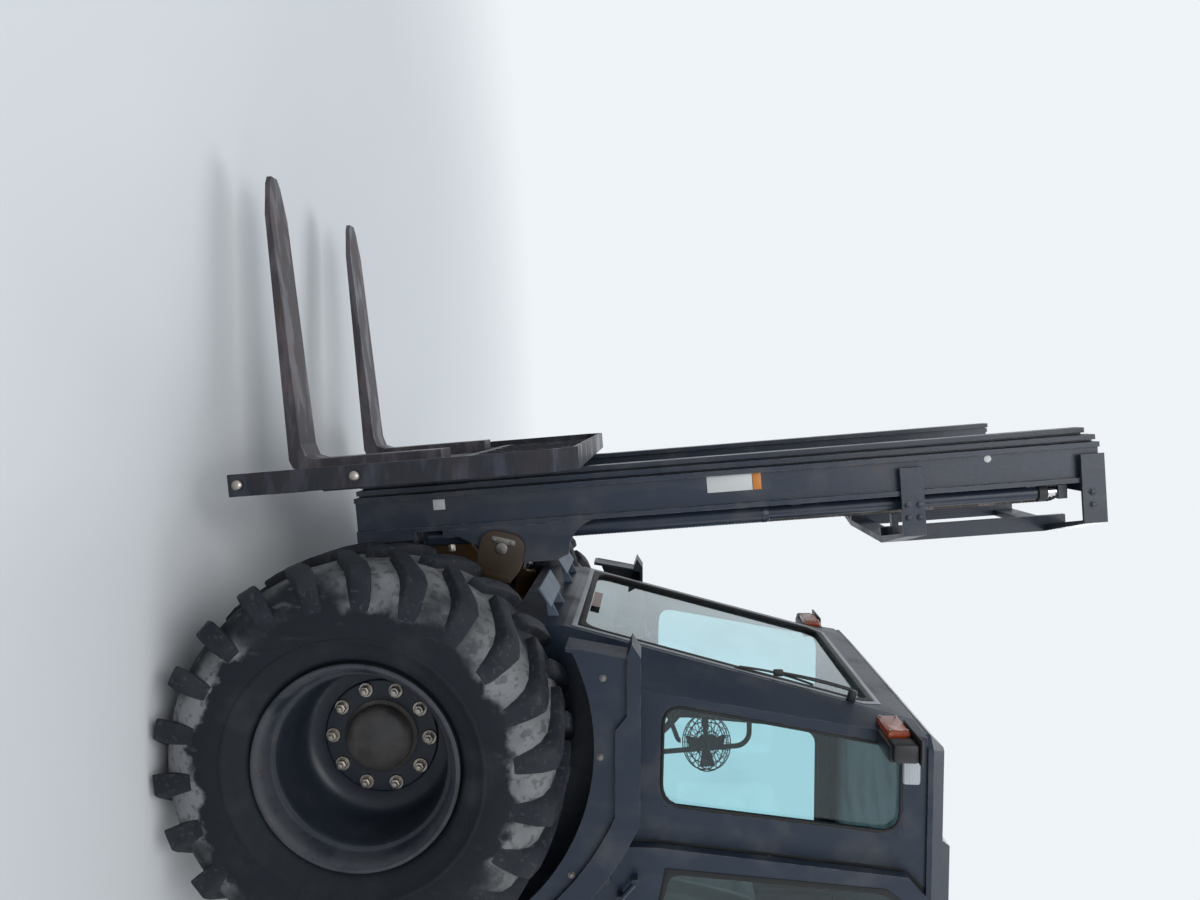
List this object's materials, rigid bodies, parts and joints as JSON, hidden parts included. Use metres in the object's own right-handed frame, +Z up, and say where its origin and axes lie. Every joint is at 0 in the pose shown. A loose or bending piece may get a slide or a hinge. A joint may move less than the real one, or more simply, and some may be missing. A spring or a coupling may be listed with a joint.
{
  "type": "rough terrain forklift",
  "caption": "Cab-in-the-middle rough terrain forklift with big front wheels, rear steering and a telescoping mast with a sliding-fork carriage.",
  "frame": {"origin": "middle of the machine's footprint, on the ground", "axes": "+X towards the forks, +Y to the left side, +Z up"},
  "size_m": [5.2608, 2.181, 3.1826],
  "materials": {
    "tyre": "matte, grey dried mud on the tread",
    "rim": "satin, dusty",
    "dark_paint": "satin charcoal paint",
    "ochre_paint": "satin, worn",
    "worn_steel": "brown-grey, scuffed",
    "chain_steel": "oiled",
    "rod_chrome": "polished",
    "glass": "clear with a light green tint",
    "cast_weight": "painted casting",
    "exhaust": "dull, heat-stained",
    "seat_cover": "black vinyl",
    "trim": "matte",
    "lamp": "amber and clear lenses"
  },
  "bodies": {
    "chassis": {"main_frame": "ochre_paint", "front_axle": "ochre_paint", "rear_axle": "ochre_paint", "engine_block": "ochre_paint", "counterweight": "cast_weight", "rear_grille": "ochre_paint", "exhaust_stack": "exhaust", "tank_left": "ochre_paint", "tank_right": "ochre_paint", "cab_floor": "dark_paint", "cab_frame": "dark_paint", "cab_roof": "dark_paint", "windscreen": "glass", "side_windows": "glass", "rear_window": "glass", "fender_left": "dark_paint", "fender_right": "dark_paint", "seat": "seat_cover", "seat_base": "dark_paint", "dash": "trim", "steering_wheel": "trim", "cab_fan": "trim", "grab_bar": "dark_paint", "front_plates": "dark_paint", "roof_lamps": "lamp"},
    "wheel_front_left": {"tyre_front_left": "tyre", "rim_front_left": "rim"},
    "wheel_front_right": {"tyre_front_right": "tyre", "rim_front_right": "rim"},
    "steer_left": {"knuckle_left": "ochre_paint"},
    "steer_right": {"knuckle_right": "ochre_paint"},
    "steer_rod": {"track_rod": "ochre_paint"},
    "wheel_rear_left": {"tyre_rear_left": "tyre", "rim_rear_left": "rim"},
    "wheel_rear_right": {"tyre_rear_right": "tyre", "rim_rear_right": "rim"},
    "hood": {"engine_hood": "ochre_paint"},
    "left_door": {"door_left": "dark_paint", "door_glass_left": "glass"},
    "right_door": {"door_right": "dark_paint", "door_glass_right": "glass"},
    "outer_stage": {"mast_outer": "dark_paint"},
    "middle_stage": {"mast_mid": "dark_paint", "lift_rods": "rod_chrome", "lift_chains": "chain_steel"},
    "inner_stage": {"mast_inner": "dark_paint"},
    "free_lift": {"free_lift_rod": "rod_chrome", "crosshead": "dark_paint", "free_lift_chains": "chain_steel"},
    "fork_carriage": {"carriage": "worn_steel", "backrest": "dark_paint"},
    "left_fork": {"fork_left": "worn_steel"},
    "right_fork": {"fork_right": "worn_steel"},
    "left_tilt_barrel": {"tilt_barrel_left": "ochre_paint"},
    "right_tilt_barrel": {"tilt_barrel_right": "ochre_paint"},
    "left_tilt_rod": {"tilt_rod_left": "rod_chrome"},
    "right_tilt_rod": {"tilt_rod_right": "rod_chrome"}
  },
  "joints": [
    {"name": "front_left_spin", "type": "hinge", "parent": "chassis", "child": "wheel_front_left", "pos_m": [0.63965, 0.843, 0.65922], "axis": [0, 1, 0], "continuous": true},
    {"name": "front_right_spin", "type": "hinge", "parent": "chassis", "child": "wheel_front_right", "pos_m": [0.63965, -0.843, 0.65922], "axis": [0, 1, 0], "continuous": true},
    {"name": "left_steer", "type": "hinge", "parent": "chassis", "child": "steer_left", "pos_m": [-1.49035, 0.62, 0.48093], "axis": [0, 0, 1], "range_deg": [-45, 45]},
    {"name": "rear_left_spin", "type": "hinge", "parent": "steer_left", "child": "wheel_rear_left", "pos_m": [-1.49035, 0.8, 0.48093], "axis": [0, 1, 0], "continuous": true},
    {"name": "right_steer", "type": "hinge", "parent": "chassis", "child": "steer_right", "pos_m": [-1.49035, -0.62, 0.48093], "axis": [0, 0, 1], "range_deg": [-45, 45]},
    {"name": "rear_right_spin", "type": "hinge", "parent": "steer_right", "child": "wheel_rear_right", "pos_m": [-1.49035, -0.8, 0.48093], "axis": [0, 1, 0], "continuous": true},
    {"name": "track_rod_turn", "type": "hinge", "parent": "steer_left", "child": "steer_rod", "pos_m": [-1.65035, 0.62, 0.41693], "axis": [0, 0, 1], "range_deg": [-45, 45]},
    {"name": "hood_lift", "type": "hinge", "parent": "chassis", "child": "hood", "pos_m": [-2.25035, 0, 1.18], "axis": [0, -1, 0], "range_deg": [0, 50]},
    {"name": "left_door_swing", "type": "hinge", "parent": "chassis", "child": "left_door", "pos_m": [-0.70635, 0.765, 1.74], "axis": [0, 0, 1], "range_deg": [0, 85]},
    {"name": "right_door_swing", "type": "hinge", "parent": "chassis", "child": "right_door", "pos_m": [-0.70635, -0.765, 1.74], "axis": [0, 0, -1], "range_deg": [0, 85]},
    {"name": "mast_tilt", "type": "hinge", "parent": "chassis", "child": "outer_stage", "pos_m": [1.19965, 0, 0.6], "axis": [0, 1, 0], "range_deg": [-14.76, 5.24]},
    {"name": "mast_lift", "type": "slide", "parent": "outer_stage", "child": "middle_stage", "axis": [0.083, 0, 0.9966], "range_m": [0, 1.95]},
    {"name": "inner_lift", "type": "slide", "parent": "middle_stage", "child": "inner_stage", "axis": [0.083, 0, 0.9966], "range_m": [0, 1.95]},
    {"name": "carriage_lift", "type": "slide", "parent": "inner_stage", "child": "fork_carriage", "axis": [0.083, 0, 0.9966], "range_m": [0, 1.9]},
    {"name": "crosshead_lift", "type": "slide", "parent": "inner_stage", "child": "free_lift", "axis": [0.083, 0, 0.9966], "range_m": [0, 0.95]},
    {"name": "left_fork_shift", "type": "slide", "parent": "fork_carriage", "child": "left_fork", "axis": [0, 1, 0], "range_m": [-0.2, 0.3]},
    {"name": "right_fork_shift", "type": "slide", "parent": "fork_carriage", "child": "right_fork", "axis": [0, -1, 0], "range_m": [-0.2, 0.3]},
    {"name": "left_tilt_swing", "type": "hinge", "parent": "chassis", "child": "left_tilt_barrel", "pos_m": [0.43965, 0.54, 0.86], "axis": [0, 1, 0], "range_deg": [-2.2, 0.8]},
    {"name": "left_tilt_stroke", "type": "slide", "parent": "left_tilt_barrel", "child": "left_tilt_rod", "axis": [0.9759, 0, 0.2184], "range_m": [-0.112, 0.04]},
    {"name": "right_tilt_swing", "type": "hinge", "parent": "chassis", "child": "right_tilt_barrel", "pos_m": [0.43965, -0.54, 0.86], "axis": [0, 1, 0], "range_deg": [-2.2, 0.8]},
    {"name": "right_tilt_stroke", "type": "slide", "parent": "right_tilt_barrel", "child": "right_tilt_rod", "axis": [0.9759, 0, 0.2184], "range_m": [-0.112, 0.04]}
  ],
  "couplings": [
    {"joint": "right_steer", "follows": "left_steer", "ratio": 1},
    {"joint": "track_rod_turn", "follows": "left_steer", "ratio": -1},
    {"joint": "inner_lift", "follows": "mast_lift", "ratio": 1},
    {"joint": "crosshead_lift", "follows": "carriage_lift", "ratio": 0.5},
    {"joint": "left_tilt_swing", "follows": "mast_tilt", "ratio": 0.145},
    {"joint": "left_tilt_stroke", "follows": "mast_tilt", "m_per_rad": 0.42915},
    {"joint": "right_tilt_swing", "follows": "mast_tilt", "ratio": 0.145},
    {"joint": "right_tilt_stroke", "follows": "mast_tilt", "m_per_rad": 0.42915}
  ]
}
